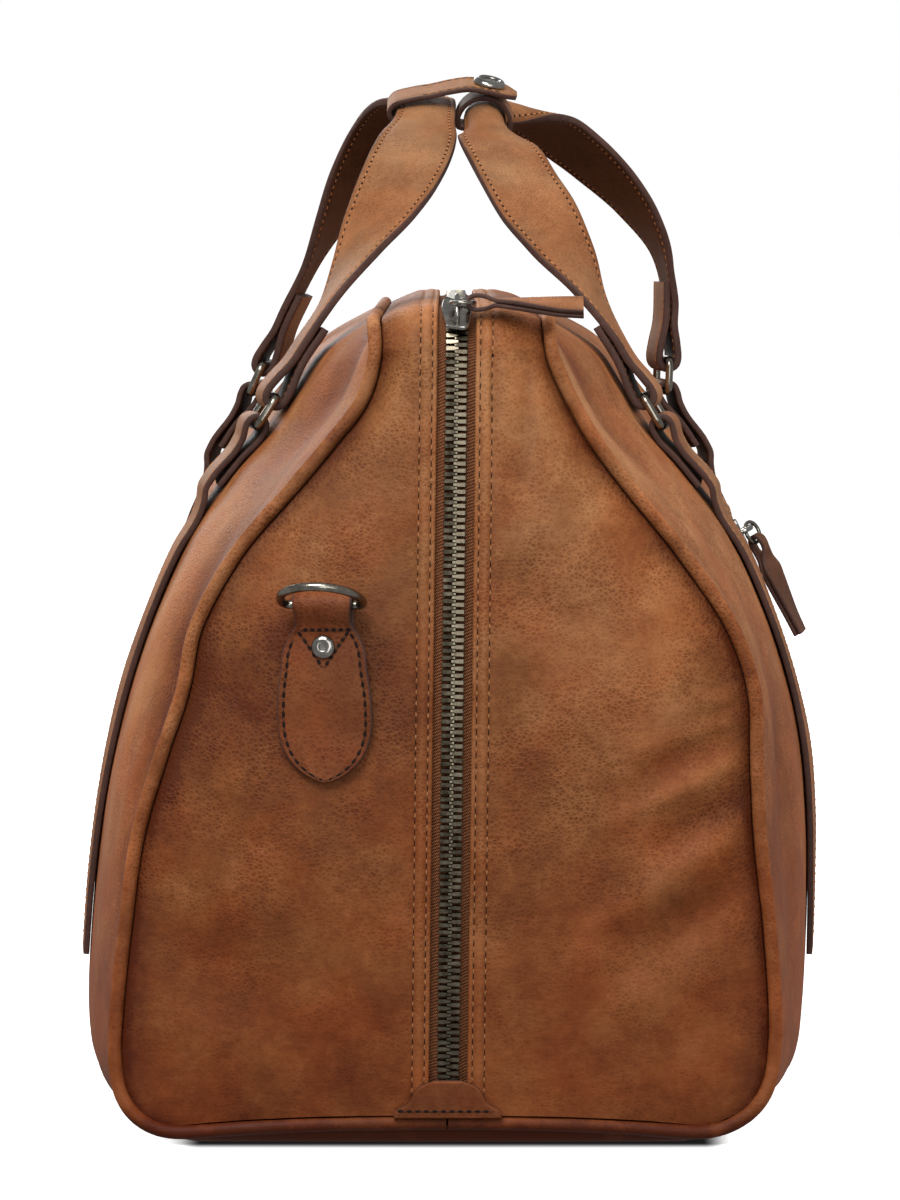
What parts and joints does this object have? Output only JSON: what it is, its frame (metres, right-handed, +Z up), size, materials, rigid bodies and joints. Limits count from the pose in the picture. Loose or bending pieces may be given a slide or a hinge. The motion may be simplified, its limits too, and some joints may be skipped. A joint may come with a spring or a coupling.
{
  "type": "leather travel bag",
  "caption": "Brown leather weekend travel bag with a zip gusset over the top, piped seams, carrying straps on metal rings and D-rings on the ends.",
  "frame": {"origin": "on the floor under the middle of the bag", "axes": "+X to the right as the picture shows the end, +Y along the bag away from the shown end, +Z up"},
  "size_m": [0.2685, 0.4922, 0.369],
  "materials": {
    "panel_leather": "waxed, semi-gloss",
    "strap_leather": "waxed, dark edges",
    "piping_leather": "waxed",
    "zip_tape": "woven tape",
    "zip_metal": "antique",
    "ring_metal": "gunmetal",
    "snap_metal": "polished nickel"
  },
  "bodies": {
    "bag": {"side_panel_left": "panel_leather", "side_panel_right": "panel_leather", "gusset_left": "panel_leather", "gusset_right": "panel_leather", "bottom_panel": "panel_leather", "piping_left": "piping_leather", "piping_right": "piping_leather", "zip_tape": "zip_tape", "pocket_zip_tape": "zip_tape", "zip_chain": "zip_metal", "pocket_zip_chain": "zip_metal", "zip_slider": "zip_metal", "pocket_zip_slider": "zip_metal", "zip_patch_near": "strap_leather", "zip_patch_far": "strap_leather", "ring_tab_near": "strap_leather", "ring_tab_far": "strap_leather", "handle_left": "strap_leather", "handle_right": "strap_leather", "snap_strap": "strap_leather", "snap_loop": "strap_leather", "pocket_welt": "strap_leather", "zip_pull": "strap_leather", "pocket_zip_pull": "strap_leather", "handle_tab_left_near": "strap_leather", "handle_tab_left_far": "strap_leather", "handle_tab_right_near": "strap_leather", "handle_tab_right_far": "strap_leather", "zip_pull_link": "ring_metal", "pocket_pull_link": "ring_metal", "handle_ring_left_near": "ring_metal", "handle_ring_left_far": "ring_metal", "handle_ring_right_near": "ring_metal", "handle_ring_right_far": "ring_metal", "rivet_near": "snap_metal", "rivet_far": "snap_metal", "snap_cap": "snap_metal", "snap_post": "snap_metal"},
    "ring_near": {"d_ring_near": "ring_metal"},
    "ring_far": {"d_ring_far": "ring_metal"}
  },
  "joints": [
    {"name": "ring_near_swing", "type": "hinge", "parent": "bag", "child": "ring_near", "pos_m": [-0.04348, -0.22802, 0.18565], "axis": [-0.9876, 0.1569, 0], "range_deg": [-90, 75]},
    {"name": "ring_far_swing", "type": "hinge", "parent": "bag", "child": "ring_far", "pos_m": [0.04333, 0.22857, 0.18564], "axis": [0.9919, -0.127, 0], "range_deg": [-90, 75]}
  ]
}
